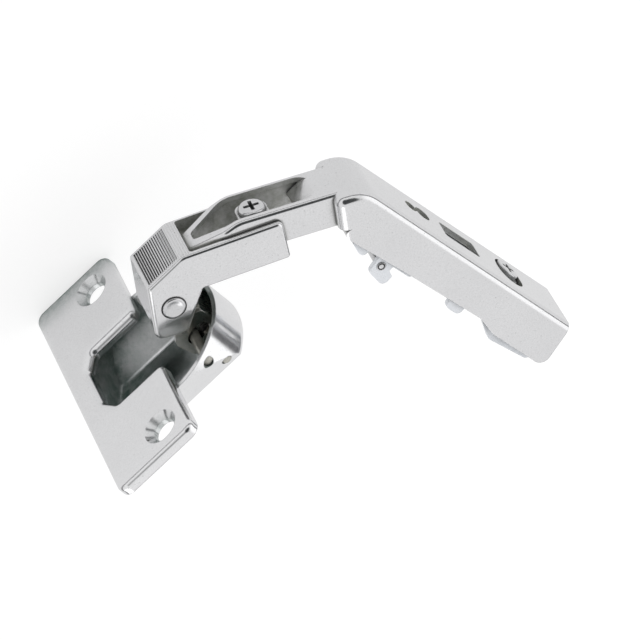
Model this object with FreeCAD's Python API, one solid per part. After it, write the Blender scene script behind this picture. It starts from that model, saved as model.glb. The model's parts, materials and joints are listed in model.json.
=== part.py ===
"""Cranked concealed cabinet hinge, modelled fully open, in millimetres.

The cup's axis is the Y axis, with +Y into the door and y = 0 on the door's face.
+Z is the direction of the pivots, upright when the door hangs, and the arm leaves
towards -X. Pieces outside the cup are drawn in flat frames that lie in the XY plane:
s runs along the piece, h runs out through its web, and z is the pivots' direction.
"""
import FreeCAD
import Part
import math
import os

Vector = FreeCAD.Vector
UP = Vector(0, 0, 1)

# Cup and flange
CUP_RADIUS = 17.5
CUP_DEPTH = 10.6
CUP_WALL = 1.0
CUP_RIM_TOP = 0.3
CUP_CHEEK_RIM = 17.4
CUP_CHEEK_FLOOR = 9.9
CUP_FLOOR_ROUND = 2.4
CUP_EDGE_ROUND = 0.4
FLANGE_LENGTH = 65.8
FLANGE_ARM_EDGE = -1.1
FLANGE_WIDTH = 21.4
FLANGE_HEIGHT = 2.7
FLANGE_SHEET = 1.5
FLANGE_CORNER = 2.5
FLANGE_EDGE_ROUND = 1.35
SCREW_SPACING = 52.0
SCREW_OFFSET = 5.5
SCREW_HOLE_RADIUS = 2.6
SCREW_SINK_RADIUS = 4.1
SCREW_BOSS_WALL = 1.6
MOUTH_END = 14.5
MOUTH_HALF = 9.6
MOUTH_CHAMFER_X = 2.8
MOUTH_CHAMFER_Z = 3.9
MOUTH_CORNER = 1.6
MOUTH_ROUND = 2.0

# Pivots when fully open
RIVET_X = -11.3
RIVET_Y = -8.3
FRONT_AXLE_X = -8.7
FRONT_AXLE_Y = 2.17
DEEP_AXLE_X = -10.87
DEEP_AXLE_Y = 6.92
NOSE_PIN_S = 0.1
NOSE_PIN_H = -5.02
FRONT_AXLE_HALF = 14.4
DEEP_AXLE_HALF = 11.9
AXLE_RADIUS = 1.2
PIN_RADIUS = 1.1
RUNNING_FIT = 0.05
OPEN_PIVOT_PLAY = 0.25

# Sheet and gaps
SHEET = 1.1
SIDE_GAP = 0.3
SHEET_EDGE_ROUND = 0.25

# Nose piece
NOSE_ANGLE = 150.4
NOSE_HALF = 7.0
NOSE_END_S = 26.6
NOSE_TOP_H = 11.4
NOSE_RAMP_S = 4.3
NOSE_TIP_S = -4.4
NOSE_TIP_H = 6.4
NOSE_LOW_H = 1.9
NOSE_NECK_S = 7.0
NOSE_LOBE_FRONT_S = -5.4
NOSE_LOBE_REAR_S = 1.9
NOSE_LOBE_H = -7.3
NOSE_WEB_END_S = 6.3
NOSE_FRONT_WALL_H = -3.6
NOSE_BEND_ROUND = 0.9
RIVET_RADIUS = 1.5
RIVET_HEAD_RADIUS = 2.5
RIVET_HEAD_HEIGHT = 0.5
RIVET_RING = 0.25
RIVET_RING_DEPTH = 0.2

# Links
LINK_EYE_RADIUS = 2.4
OUTER_LINK_BULGE = 4.8
OUTER_LINK_WEB_START = 2.6
OUTER_LINK_WEB_END = 8.2
SLOT_MARGIN = 0.35
CLOSE_SWING_OUTER = 30.5
RIVET_LINK_HALF = 3.9
RIVET_LINK_ROOT_RADIUS = 2.0
RIVET_LINK_WEB_START = 3.2
RIVET_LINK_WEB_END = 7.6

# Closing spring on the deep axle
SPRING_WIRE_RADIUS = 0.45
SPRING_TURNS = 5
SPRING_PITCH = 1.0
SPRING_BORE_GAP = 0.12
SPRING_LEG = 4.0

# Cranked arm, front part measured from its fulcrum under the nose web
ARM_TILT = -3.4
ARM_FULCRUM_S = 7.0
ARM_FULCRUM_H = 9.3
ARM_SHEET = 1.2
ARM_BEND_RADIUS = 8.0
ARM_BEND_ROUND = 1.1
REAR_BEND_ROUND = 2.0
ARM_FRONT_HALF = 5.6
ARM_TIP_HALF = 2.6
ARM_TIP_S = -2.2
ARM_TIP_H = -0.05
ARM_TIP_SPREAD_S = 7.5
ARM_WEB_H = 5.3
ARM_RISE_S = 10.4
ARM_RISE_RADIUS = 7.0
ARM_LOW_H = -2.6
ARM_JOGGLE_S = 31.0
ARM_CORNER_S = 38.0
ARM_CRANK = 51.6
FRONT_WINDOW_START = 1.3
FRONT_WINDOW_END = 28.5
FRONT_WINDOW_HALF = 4.2
WINDOW_FLAP_RUN = 4.4
WINDOW_FLAP_DROP = 3.4
OVERLAY_SCREW_S = 14.6
OVERLAY_SCREW_Z = 1.1

# Cranked arm, rear part measured from the crank's outer corner
ARM_REAR_HALF = 8.5
REAR_LENGTH = 63.6
REAR_LOW_START = -11.0
REAR_LOW_MIDDLE = -10.1
REAR_LOW_END = -9.5
REAR_LOW_MIDDLE_S = 20.0
REAR_STEP_S = REAR_LENGTH - 19.6
REAR_STEP_RUN = 5.5
REAR_SKIRT_H = -10.9
REAR_END_LEAN = 1.8
REAR_CORNER_ROUND = 2.2
KEYHOLE_S = 17.6
KEYHOLE_Z = -1.3
KEYHOLE_PITCH = 3.6
KEYHOLE_RADIUS = 2.0
KEYHOLE_SMALL_RADIUS = 1.6
WEB_SLOT_START = 27.0
WEB_SLOT_END = 37.7
WEB_SLOT_Z = -0.4
WEB_SLOT_HALF = 2.8
WEB_SLOT_CORNER = 0.8
REAR_LOW_BEND = 8.0
CAM_S = REAR_LENGTH - 15.7
CAM_THROW = 1.0
CAM_DISC_RADIUS = 3.3
CAM_HEAD_RADIUS = 2.8
CAM_DISC_TOP = -0.8
CAM_PLAY = 0.25

# Overlay screw, its seat in the arm and its threaded saddle in the nose piece
OVERLAY_THREAD_RADIUS = 2.0
OVERLAY_ROOT_RADIUS = 1.65
OVERLAY_HEAD_RADIUS = 2.9
OVERLAY_HEAD_HEIGHT = 1.4
OVERLAY_COLLAR_RADIUS = 2.7
OVERLAY_COLLAR = 0.8
OVERLAY_END_H = -8.3
TONGUE_START = 11.2
TONGUE_END = 18.0
TONGUE_FAR = -2.2
TONGUE_TOP_H = 4.1
SADDLE_START = 17.6
SADDLE_END = 25.6
SADDLE_H = 2.4
SADDLE_PLAY = 0.4
RECESS_REACH = 1.7
RECESS_ARM = 0.4
RECESS_DEPTH = 1.2
RECESS_POINT = 0.6

# Ridges across the nose piece's ramp
RIDGE_COUNT = 15
RIDGE_PITCH = 0.56
RIDGE_DEPTH = 0.26
RIDGE_FIRST = 0.7
RIDGE_MARGIN = 1.2

# Rear release lever, from its pivot, which is set from the arm's rear end
LEVER_PIVOT_S = REAR_LENGTH - 10.0
LEVER_START = LEVER_PIVOT_S - 9.8
LEVER_END = LEVER_PIVOT_S + 8.0

# Clip base inside the rear arm
CLIP_SHEET = 1.2
CLIP_START = 7.4
CLIP_END = LEVER_START - 0.8
CLIP_WALL_H = -9.0
CLIP_WEB_GAP = 0.3
CLIP_WEB_END = LEVER_END - 1.6
CLIP_SLOT_MARGIN = 0.6
CLIP_EAR_FOOT = 3.4
FRONT_LUG_START = 6.6
FRONT_LUG_END = 11.5
FRONT_LUG_H = -12.5
LUG_EDGE_H = -11.3
LUG_H = -12.0
HOOK_START = 14.2
HOOK_NECK = 18.8
HOOK_END = 20.3
HOOK_LOW_H = -15.7
HOOK_NOTCH_H = -12.1
HOOK_NOTCH_RADIUS = 0.7
MIDDLE_LUG_END = 24.6
MIDDLE_LUG_H = -10.9
REAR_LUG_START = 36.0
REAR_LUG_END = 40.2
CATCH_PIN_S = 16.4
CATCH_PIN_H = -12.2
CATCH_PIN_RADIUS = 1.0
CATCH_PIN_HEAD = 0.25
CAM_SHANK_RADIUS = 1.4
CAM_COLLAR_RADIUS = 2.4
CAM_COLLAR = 0.7
CAM_PROUD = 0.5
CAM_EDGE_ROUND = 0.4

# Rear release lever, further sizes
LEVER_PIVOT_H = -6.4
LEVER_TOP_H = -3.9
LEVER_LOW_H = -13.2
LEVER_LOW_FRONT_H = -10.0
LEVER_LOW_LEAN = 1.8
LEVER_LOW_RISE = 0.9
LEVER_PIN_RADIUS = 1.0
LEVER_EAR_RADIUS = 2.2
LEVER_NOSE = 2.2
LEVER_NOSE_DROP = 1.6
LEVER_FRONT_REACH = 4.0
LEVER_SPRING_LEG = 4.4
LEVER_SPRING_TURNS = 4


def flat_outline(corners, place):
    """Face inside a closed outline of (u, v) or (u, v, radius) corners, put in space by place."""
    count = len(corners)
    points = [Vector(corner[0], corner[1], 0) for corner in corners]
    spans = []
    for index, corner in enumerate(corners):
        point = points[index]
        radius = corner[2] if len(corner) > 2 else 0
        if radius <= 0:
            spans.append((point, None, point))
            continue
        back = (points[index - 1] - point).normalize()
        ahead = (points[(index + 1) % count] - point).normalize()
        half = back.getAngle(ahead) / 2
        middle = (back + ahead).normalize()
        reach = radius / math.tan(half)
        centre = point + middle * (radius / math.sin(half))
        spans.append((point + back * reach, centre - middle * radius, point + ahead * reach))
    edges = []
    for index, (start, middle, end) in enumerate(spans):
        if middle is not None:
            edges.append(Part.Arc(place(start), place(middle), place(end)).toShape())
        following = spans[(index + 1) % count][0]
        if (following - end).Length > 1e-6:
            edges.append(Part.LineSegment(place(end), place(following)).toShape())
    return Part.Face(Part.Wire(Part.__sortEdges__(edges)))


def side_prism(corners, z_low, z_high):
    """Solid drawn in side view, in s and h, between two levels of z."""
    face = flat_outline(corners, lambda p: Vector(p.x, p.y, z_low))
    return face.extrude(Vector(0, 0, z_high - z_low))


def plan_prism(corners, h_low, h_high):
    """Solid drawn looking down on the web, in s and z, between two levels of h."""
    face = flat_outline(corners, lambda p: Vector(p.x, h_low, p.y))
    return face.extrude(Vector(0, h_high - h_low, 0))


def bar(x, y, radius, z_low, z_high):
    """Round bar along z."""
    return Part.makeCylinder(radius, z_high - z_low, Vector(x, y, z_low), UP)


def post(s, z, radius, h_low, h_high):
    """Round bar along h."""
    return Part.makeCylinder(radius, h_high - h_low, Vector(s, h_low, z), Vector(0, 1, 0))


def both_sides(piece):
    """The piece and its mirror image across z = 0."""
    return [piece, piece.mirror(Vector(0, 0, 0), UP)]


def joined(pieces):
    """One clean solid from touching or crossing pieces."""
    return pieces[0].fuse(pieces[1:]).removeSplitter()


def inset_chain(points, distance):
    """Open chain of (s, h) points moved sideways by distance, to the right of its run."""
    moved = []
    normals = []
    for first, second in zip(points, points[1:]):
        run = Vector(second[0] - first[0], second[1] - first[1], 0).normalize()
        normals.append(Vector(run.y, -run.x, 0))
    for index, point in enumerate(points):
        before = normals[max(index - 1, 0)]
        after = normals[min(index, len(normals) - 1)]
        middle = (before + after).normalize()
        scale = distance / middle.dot(after)
        radius = point[2] if len(point) > 2 else 0
        moved.append((point[0] + middle.x * scale, point[1] + middle.y * scale, radius))
    return moved


def frame(x, y, angle):
    """Placement of a flat frame."""
    return FreeCAD.Placement(Vector(x, y, 0), FreeCAD.Rotation(UP, angle))


def placed(shape, placement):
    """Copy of a shape carried from its flat frame to the hinge's frame."""
    moved = shape.copy()
    moved.Placement = placement.multiply(moved.Placement)
    return moved


NOSE_FRAME = frame(RIVET_X, RIVET_Y, NOSE_ANGLE)
ROW_FRAME = frame(-SCREW_OFFSET, 0, 0)
ARM_FRAME = NOSE_FRAME.multiply(frame(ARM_FULCRUM_S, ARM_FULCRUM_H, ARM_TILT))
REAR_IN_ARM = frame(ARM_CORNER_S, ARM_WEB_H, -ARM_CRANK)
REAR_FRAME = ARM_FRAME.multiply(REAR_IN_ARM)


def link_frame(start_x, start_y, end):
    """Flat frame at a link's cup pivot with s towards its nose pivot, and the link's length."""
    run = end - Vector(start_x, start_y, 0)
    return frame(start_x, start_y, math.degrees(math.atan2(run.y, run.x))), run.Length


NOSE_PIN = NOSE_FRAME.multVec(Vector(NOSE_PIN_S, NOSE_PIN_H, 0))
RIVET = Vector(RIVET_X, RIVET_Y, 0)
OUTER_FRAME, OUTER_LENGTH = link_frame(DEEP_AXLE_X, DEEP_AXLE_Y, NOSE_PIN)
RIVET_LINK_FRAME, RIVET_LINK_LENGTH = link_frame(FRONT_AXLE_X, FRONT_AXLE_Y, RIVET)

NOSE_INSIDE = NOSE_HALF - SHEET
OUTER_LINK_HALF = NOSE_INSIDE - SIDE_GAP
OUTER_LINK_INSIDE = OUTER_LINK_HALF - SHEET
ARM_REAR_INSIDE = ARM_REAR_HALF - ARM_SHEET
CLIP_HALF = ARM_REAR_INSIDE - SIDE_GAP
CLIP_INSIDE = CLIP_HALF - CLIP_SHEET
CLIP_WEB_TOP = -ARM_SHEET - CLIP_WEB_GAP
LEVER_HALF = CLIP_INSIDE - SIDE_GAP


def bowl(radius, rim, cheek_rim, cheek_floor, floor, corner):
    """Round bowl with two sloping cheeks, its floor edge rounded."""
    drum = Part.makeCylinder(radius, floor - rim, Vector(0, rim, 0), Vector(0, 1, 0))
    cheeks = Part.Face(Part.makePolygon([
        Vector(-2 * radius, rim, -cheek_rim),
        Vector(-2 * radius, rim, cheek_rim),
        Vector(-2 * radius, floor, cheek_floor),
        Vector(-2 * radius, floor, -cheek_floor),
        Vector(-2 * radius, rim, -cheek_rim),
    ])).extrude(Vector(4 * radius, 0, 0))
    solid = drum.common(cheeks)
    floor_edges = [edge for edge in solid.Edges if edge.BoundBox.YMin > floor - 1e-3]
    return solid.makeFillet(corner, floor_edges)


def flange_shell():
    """Raised rectangular flange with turned-down edges and a boss under each screw."""
    far = FLANGE_ARM_EDGE + FLANGE_WIDTH
    half = FLANGE_LENGTH / 2
    corners = [
        (FLANGE_ARM_EDGE, -half, FLANGE_CORNER),
        (far, -half, FLANGE_CORNER),
        (far, half, FLANGE_CORNER),
        (FLANGE_ARM_EDGE, half, FLANGE_CORNER),
    ]
    plate = plan_prism(corners, -FLANGE_HEIGHT, 0)
    top = [edge for edge in plate.Edges if edge.BoundBox.YMax < -FLANGE_HEIGHT + 1e-3]
    plate = plate.makeFillet(FLANGE_EDGE_ROUND, top)
    for side in (-1, 1):
        inner_end = side * (CUP_RADIUS + CUP_WALL)
        outer_end = side * (half - FLANGE_SHEET)
        near, away = sorted((inner_end, outer_end))
        pocket = plan_prism([
            (FLANGE_ARM_EDGE + FLANGE_SHEET, near, 1.0),
            (far - FLANGE_SHEET, near, 1.0),
            (far - FLANGE_SHEET, away, 1.0),
            (FLANGE_ARM_EDGE + FLANGE_SHEET, away, 1.0),
        ], FLANGE_SHEET - FLANGE_HEIGHT, 1.0)
        boss = post(SCREW_OFFSET, side * SCREW_SPACING / 2, SCREW_SINK_RADIUS + SCREW_BOSS_WALL,
                    -FLANGE_HEIGHT, 2.0)
        plate = plate.cut(pocket.cut(boss))
    return plate


def screw_hole(side):
    """Countersunk hole through the flange."""
    z = side * SCREW_SPACING / 2
    shank = post(SCREW_OFFSET, z, SCREW_HOLE_RADIUS, -FLANGE_HEIGHT - 1, 1)
    depth = SCREW_SINK_RADIUS - SCREW_HOLE_RADIUS
    sink = Part.makeCone(SCREW_SINK_RADIUS, SCREW_HOLE_RADIUS, depth,
                         Vector(SCREW_OFFSET, -FLANGE_HEIGHT, z), Vector(0, 1, 0))
    return shank.fuse(sink)


def make_cup():
    """Pressed cup: flange, bowl, mouth, screw holes and axle holes."""
    outside = bowl(CUP_RADIUS, -CUP_RIM_TOP, CUP_CHEEK_RIM, CUP_CHEEK_FLOOR, CUP_DEPTH,
                   CUP_FLOOR_ROUND)
    inside = bowl(CUP_RADIUS - CUP_WALL, -CUP_RIM_TOP, CUP_CHEEK_RIM - CUP_WALL,
                  CUP_CHEEK_FLOOR - CUP_WALL, CUP_DEPTH - CUP_WALL, CUP_FLOOR_ROUND - CUP_WALL)
    cup = joined([flange_shell(), outside])
    mouth = plan_prism([
        (-CUP_RADIUS, -MOUTH_HALF),
        (MOUTH_END - MOUTH_CHAMFER_X, -MOUTH_HALF, MOUTH_CORNER),
        (MOUTH_END, MOUTH_CHAMFER_Z - MOUTH_HALF, MOUTH_CORNER),
        (MOUTH_END, MOUTH_HALF - MOUTH_CHAMFER_Z, MOUTH_CORNER),
        (MOUTH_END - MOUTH_CHAMFER_X, MOUTH_HALF, MOUTH_CORNER),
        (-CUP_RADIUS, MOUTH_HALF),
    ], -FLANGE_HEIGHT - 1, 0)
    arm_side = Part.makeBox(CUP_RADIUS * 2, 4 * CUP_WALL, CUP_RADIUS * 4,
                            Vector(FLANGE_ARM_EDGE - CUP_RADIUS * 2, -FLANGE_HEIGHT - 1, -CUP_RADIUS * 2))
    rim_cut = arm_side.cut(plan_prism([
        (-CUP_RADIUS * 3, -CUP_RADIUS * 3),
        (CUP_RADIUS * 3, -CUP_RADIUS * 3),
        (CUP_RADIUS * 3, CUP_RADIUS * 3),
        (-CUP_RADIUS * 3, CUP_RADIUS * 3),
    ], -CUP_RIM_TOP, 4))
    under_flange = Part.makeBox(CUP_RADIUS * 2, CUP_RIM_TOP, CUP_RADIUS * 4,
                                Vector(FLANGE_ARM_EDGE, -CUP_RIM_TOP, -CUP_RADIUS * 2))
    hollow = inside.cut(under_flange)
    cup = cup.cut(hollow).cut(mouth.cut(rim_cut)).cut(rim_cut)
    lip = [
        edge for edge in cup.Edges
        if edge.BoundBox.YMax < -FLANGE_HEIGHT + 1e-3
        and abs(edge.CenterOfMass.z) < MOUTH_HALF + 1e-3
        and edge.BoundBox.XMax < MOUTH_END + 1e-3
        and edge.BoundBox.XMax > FLANGE_ARM_EDGE + 0.1
        and edge.BoundBox.ZLength < FLANGE_LENGTH / 2
        and abs(edge.CenterOfMass.z) < SCREW_SPACING / 2 - SCREW_SINK_RADIUS
    ]
    cup = cup.makeFillet(MOUTH_ROUND, lip)
    for side in (-1, 1):
        cup = cup.cut(screw_hole(side))
    for x, y in ((FRONT_AXLE_X, FRONT_AXLE_Y), (DEEP_AXLE_X, DEEP_AXLE_Y)):
        cup = cup.cut(bar(x, y, AXLE_RADIUS, -CUP_RADIUS, CUP_RADIUS))
    return cup


def make_front_axle():
    """Axle across the cup that carries the rivet link."""
    radius = AXLE_RADIUS - RUNNING_FIT / 2
    return bar(FRONT_AXLE_X, FRONT_AXLE_Y, radius, -FRONT_AXLE_HALF, FRONT_AXLE_HALF)


def make_deep_axle():
    """Axle across the cup that carries the outer link and the closing spring."""
    radius = AXLE_RADIUS - RUNNING_FIT / 2
    return bar(DEEP_AXLE_X, DEEP_AXLE_Y, radius, -DEEP_AXLE_HALF, DEEP_AXLE_HALF)


def sector_slot(start, swing, play):
    """Curved slot about a link's cup pivot that lets a bar at start pass while the link swings."""
    reach = math.hypot(start.x, start.y)
    angle = math.degrees(math.atan2(start.y, start.x))
    half = AXLE_RADIUS + play
    depth = 2 * NOSE_HALF
    ring = Part.makeCylinder(reach + half, depth, Vector(0, 0, -NOSE_HALF), UP, swing)
    ring = ring.cut(bar(0, 0, reach - half, -depth, depth))
    ring.rotate(Vector(0, 0, 0), UP, angle - swing)
    ends = []
    for turn in (angle, angle - swing):
        x = reach * math.cos(math.radians(turn))
        y = reach * math.sin(math.radians(turn))
        ends.append(bar(x, y, half, -NOSE_HALF, NOSE_HALF))
    return ring.fuse(ends)


def make_outer_link():
    """Wide channel link from the deep axle to the nose pins, slotted for the front axle."""
    eye = LINK_EYE_RADIUS
    swell = OUTER_LINK_BULGE
    length = OUTER_LENGTH
    outline = [
        (-eye, -eye, 2.2),
        (0.4, -eye, 1.0),
        (OUTER_LINK_WEB_START, -swell, 0.8),
        (OUTER_LINK_WEB_END, -swell, 0.8),
        (length - 1.0, -eye, 1.0),
        (length + eye, -eye, 2.2),
        (length + eye, eye, 2.2),
        (length - 1.2, eye, 1.5),
        (OUTER_LINK_WEB_END - 0.6, swell, 2.0),
        (OUTER_LINK_WEB_START, swell, 2.0),
        (0.6, eye, 1.0),
        (-eye, eye, 2.2),
    ]
    cheeks = both_sides(side_prism(outline, OUTER_LINK_INSIDE, OUTER_LINK_HALF))
    web = side_prism([
        (OUTER_LINK_WEB_START, -swell),
        (OUTER_LINK_WEB_END, -swell),
        (OUTER_LINK_WEB_END, SHEET - swell),
        (OUTER_LINK_WEB_START, SHEET - swell),
    ], -OUTER_LINK_HALF + SHEET_EDGE_ROUND, OUTER_LINK_HALF - SHEET_EDGE_ROUND)
    link = joined(cheeks + [web])
    axle = OUTER_FRAME.inverse().multVec(Vector(FRONT_AXLE_X, FRONT_AXLE_Y, 0))
    link = link.cut(sector_slot(axle, CLOSE_SWING_OUTER, SLOT_MARGIN))
    link = link.cut(bar(0, 0, AXLE_RADIUS + RUNNING_FIT, -NOSE_HALF, NOSE_HALF))
    link = link.cut(bar(length, 0, PIN_RADIUS + OPEN_PIVOT_PLAY, -NOSE_HALF, NOSE_HALF))
    return placed(link, OUTER_FRAME)


def make_rivet_link():
    """Narrow channel link from the front axle to the nose rivet."""
    eye = LINK_EYE_RADIUS
    root = RIVET_LINK_ROOT_RADIUS
    length = RIVET_LINK_LENGTH
    outline = [
        (-root, -root, root * 0.95),
        (root * 0.7, -root, 1.0),
        (RIVET_LINK_WEB_START, -eye, 1.0),
        (length + eye, -eye, eye * 0.95),
        (length + eye, eye, eye * 0.95),
        (RIVET_LINK_WEB_START, eye, 1.0),
        (root * 0.7, root, 1.0),
        (-root, root, root * 0.95),
    ]
    inside = RIVET_LINK_HALF - SHEET
    cheeks = both_sides(side_prism(outline, inside, RIVET_LINK_HALF))
    web = side_prism([
        (RIVET_LINK_WEB_START, -eye),
        (RIVET_LINK_WEB_END, -eye),
        (RIVET_LINK_WEB_END, SHEET - eye),
        (RIVET_LINK_WEB_START, SHEET - eye),
    ], -inside - SHEET / 2, inside + SHEET / 2)
    link = joined(cheeks + [web])
    link = link.cut(bar(0, 0, AXLE_RADIUS + RUNNING_FIT, -NOSE_HALF, NOSE_HALF))
    link = link.cut(bar(length, 0, RIVET_RADIUS + RUNNING_FIT, -NOSE_HALF, NOSE_HALF))
    return placed(link, RIVET_LINK_FRAME)


def coil(turns, bore_radius, leg):
    """Torsion spring about z: a helix with a straight leg off each end."""
    mean = bore_radius + SPRING_BORE_GAP + SPRING_WIRE_RADIUS
    height = turns * SPRING_PITCH
    helix = Part.makeHelix(SPRING_PITCH, height, mean)
    section = Part.Wire(Part.makeCircle(SPRING_WIRE_RADIUS, Vector(mean, 0, 0), Vector(0, 1, 0)))
    body = Part.Wire(helix.Edges).makePipeShell([section], True, True)
    body.translate(Vector(0, 0, -height / 2))
    pieces = [body]
    low_leg = Part.makeCylinder(SPRING_WIRE_RADIUS, leg, Vector(mean, 0, -height / 2), Vector(0, -1, 0))
    high_leg = Part.makeCylinder(SPRING_WIRE_RADIUS, leg, Vector(mean, 0, height / 2), Vector(0, 1, 0))
    pieces += [low_leg, high_leg]
    return pieces


def make_nose_piece():
    """Ridged nose: a channel with a closed front, its web cut away over the arm."""
    outline = [
        (NOSE_TIP_S, NOSE_TIP_H, 0.5),
        (NOSE_RAMP_S, NOSE_TOP_H, 3.0),
        (NOSE_END_S, NOSE_TOP_H, 1.3),
        (NOSE_END_S, NOSE_LOW_H, 0.7),
        (NOSE_NECK_S, NOSE_LOW_H, 0.8),
        (NOSE_LOBE_REAR_S, NOSE_LOBE_H, 1.2),
        (NOSE_LOBE_FRONT_S, NOSE_LOBE_H, 2.2),
    ]
    block = side_prism(outline, -NOSE_HALF, NOSE_HALF)
    top = [(NOSE_TIP_S, NOSE_TIP_H, 0.5), (NOSE_RAMP_S, NOSE_TOP_H, 3.0), (NOSE_END_S, NOSE_TOP_H, 1.3)]
    block = block.makeFillet(NOSE_BEND_ROUND, nose_top_edges(block))
    chain = [(NOSE_LOBE_FRONT_S, NOSE_LOBE_H)] + top
    inner = inset_chain(chain, SHEET)
    end = NOSE_END_S + SHEET
    low = NOSE_LOBE_H - SHEET
    hollow_outline = inner[:3] + [(end, inner[3][1]), (end, low), (inner[0][0], low)]
    block = block.cut(side_prism(hollow_outline, -NOSE_INSIDE, NOSE_INSIDE))
    open_web = [
        (NOSE_WEB_END_S, -NOSE_INSIDE, 0.6),
        (end, -NOSE_INSIDE),
        (end, NOSE_INSIDE),
        (NOSE_WEB_END_S, NOSE_INSIDE, 0.6),
    ]
    block = block.cut(plan_prism(open_web, NOSE_TOP_H - 2 * SHEET, NOSE_TOP_H + SHEET))
    front_gap = side_prism([
        (NOSE_LOBE_FRONT_S - SHEET, low),
        (0, low),
        (0, NOSE_FRONT_WALL_H),
        (NOSE_LOBE_FRONT_S - SHEET, NOSE_FRONT_WALL_H),
    ], -NOSE_INSIDE, NOSE_INSIDE)
    block = block.cut(front_gap)
    block = block.cut(ridge_grooves())
    block = block.cut(bar(0, 0, RIVET_RADIUS, -NOSE_HALF, NOSE_HALF))
    ring = bar(0, 0, RIVET_HEAD_RADIUS + RIVET_RING, NOSE_HALF - RIVET_RING_DEPTH, NOSE_HALF)
    ring = ring.cut(bar(0, 0, RIVET_HEAD_RADIUS, 0, NOSE_HALF))
    block = block.cut(both_sides(ring))
    pin_hole = bar(NOSE_PIN_S, NOSE_PIN_H, PIN_RADIUS, -nose_pin_end(), nose_pin_end())
    block = block.cut(pin_hole)
    return placed(block, NOSE_FRAME)


def nose_top_edges(block):
    """Both rows of bend edges along the nose's ramp and top."""
    found = []
    for edge in block.Edges:
        box = edge.BoundBox
        level = box.ZMax - box.ZMin < 1e-3 and abs(abs(box.ZMax) - NOSE_HALF) < 1e-3
        if level and edge.CenterOfMass.y > NOSE_TIP_H and box.XMax < NOSE_END_S - 0.1:
            found.append(edge)
    return found


def ridge_grooves():
    """Fine grooves across the ramp, parallel to the pivots."""
    run = Vector(NOSE_RAMP_S - NOSE_TIP_S, NOSE_TOP_H - NOSE_TIP_H, 0).normalize()
    inward = Vector(run.y, -run.x, 0)
    start = Vector(NOSE_TIP_S, NOSE_TIP_H, 0)
    half = NOSE_HALF - RIDGE_MARGIN
    grooves = []
    for index in range(RIDGE_COUNT):
        middle = start + run * (RIDGE_FIRST + RIDGE_PITCH * (index + 0.5))
        width = run * (RIDGE_PITCH * 0.35)
        lift = inward * -RIDGE_DEPTH
        root = middle + inward * RIDGE_DEPTH
        corners = [middle - width * 2 + lift, root, middle + width * 2 + lift]
        grooves.append(side_prism([(point.x, point.y) for point in corners], -half, half))
    return Part.makeCompound(grooves)


def nose_pin_end():
    """Distance from the middle to the outer end of a nose pin, short of the nose's outside."""
    return NOSE_HALF - SHEET * 0.4


def make_nose_rivet():
    """Rivet through the nose piece, with a domed head on each side."""
    top = NOSE_HALF + RIVET_HEAD_HEIGHT
    head = bar(0, 0, RIVET_HEAD_RADIUS, NOSE_HALF, top)
    rim = [edge for edge in head.Edges if edge.BoundBox.ZMin > top - 1e-3]
    head = head.makeFillet(RIVET_HEAD_HEIGHT * 0.85, rim)
    shank = bar(0, 0, RIVET_RADIUS, -NOSE_HALF, NOSE_HALF)
    return placed(joined(both_sides(head) + [shank]), NOSE_FRAME)


def make_nose_pins():
    """Two short pins, set in the nose's sides, that carry the outer link."""
    pin = bar(NOSE_PIN_S, NOSE_PIN_H, PIN_RADIUS, OUTER_LINK_INSIDE - SIDE_GAP, nose_pin_end())
    return placed(Part.makeCompound(both_sides(pin)), NOSE_FRAME)


def make_rivet_spacers():
    """Two sleeves on the rivet that centre the rivet link between the nose's sides."""
    sleeve = bar(0, 0, LINK_EYE_RADIUS - 0.3, RIVET_LINK_HALF + RUNNING_FIT, NOSE_INSIDE)
    sleeve = sleeve.cut(bar(0, 0, RIVET_RADIUS, 0, NOSE_HALF))
    return placed(Part.makeCompound(both_sides(sleeve)), NOSE_FRAME)


def overlay_screw_in_nose():
    """Where the overlay screw's axis crosses the saddle, in the nose's frame."""
    arm_in_nose = frame(ARM_FULCRUM_S, ARM_FULCRUM_H, ARM_TILT)
    foot = arm_in_nose.multVec(Vector(OVERLAY_SCREW_S, 0, 0))
    head = arm_in_nose.multVec(Vector(OVERLAY_SCREW_S, ARM_WEB_H, 0))
    share = (SADDLE_H + SHEET / 2 - foot.y) / (head.y - foot.y)
    return foot.x + (head.x - foot.x) * share


def make_nose_saddle():
    """Cross plate, set between the nose's sides, that the overlay screw runs in."""
    plate = plan_prism([
        (SADDLE_START, -NOSE_INSIDE, 0.8),
        (SADDLE_END, -NOSE_INSIDE, 0.8),
        (SADDLE_END, NOSE_INSIDE, 0.8),
        (SADDLE_START, NOSE_INSIDE, 0.8),
    ], SADDLE_H, SADDLE_H + SHEET)
    s = overlay_screw_in_nose()
    half = OVERLAY_THREAD_RADIUS + SADDLE_PLAY
    wide = OVERLAY_THREAD_RADIUS + RUNNING_FIT * 2
    z = OVERLAY_SCREW_Z
    slot = plan_prism([
        (s - half, z - wide, wide * 0.95),
        (s + half, z - wide, wide * 0.95),
        (s + half, z + wide, wide * 0.95),
        (s - half, z + wide, wide * 0.95),
    ], SADDLE_H - SHEET, SADDLE_H + 2 * SHEET)
    return placed(plate.cut(slot), NOSE_FRAME)


def rear_point(s, h, radius=0):
    """Corner of the rear part, given in its own frame, as a corner in the front frame."""
    point = REAR_IN_ARM.multVec(Vector(s, h, 0))
    return (point.x, point.y, radius)


def arm_top_chain(length):
    """The web's outer line, from the tip, round the crank, to the rear end."""
    return [
        (ARM_TIP_S, ARM_TIP_H),
        (ARM_RISE_S, ARM_WEB_H, ARM_RISE_RADIUS),
        (ARM_CORNER_S, ARM_WEB_H, ARM_BEND_RADIUS),
        rear_point(length, 0),
    ]


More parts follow.
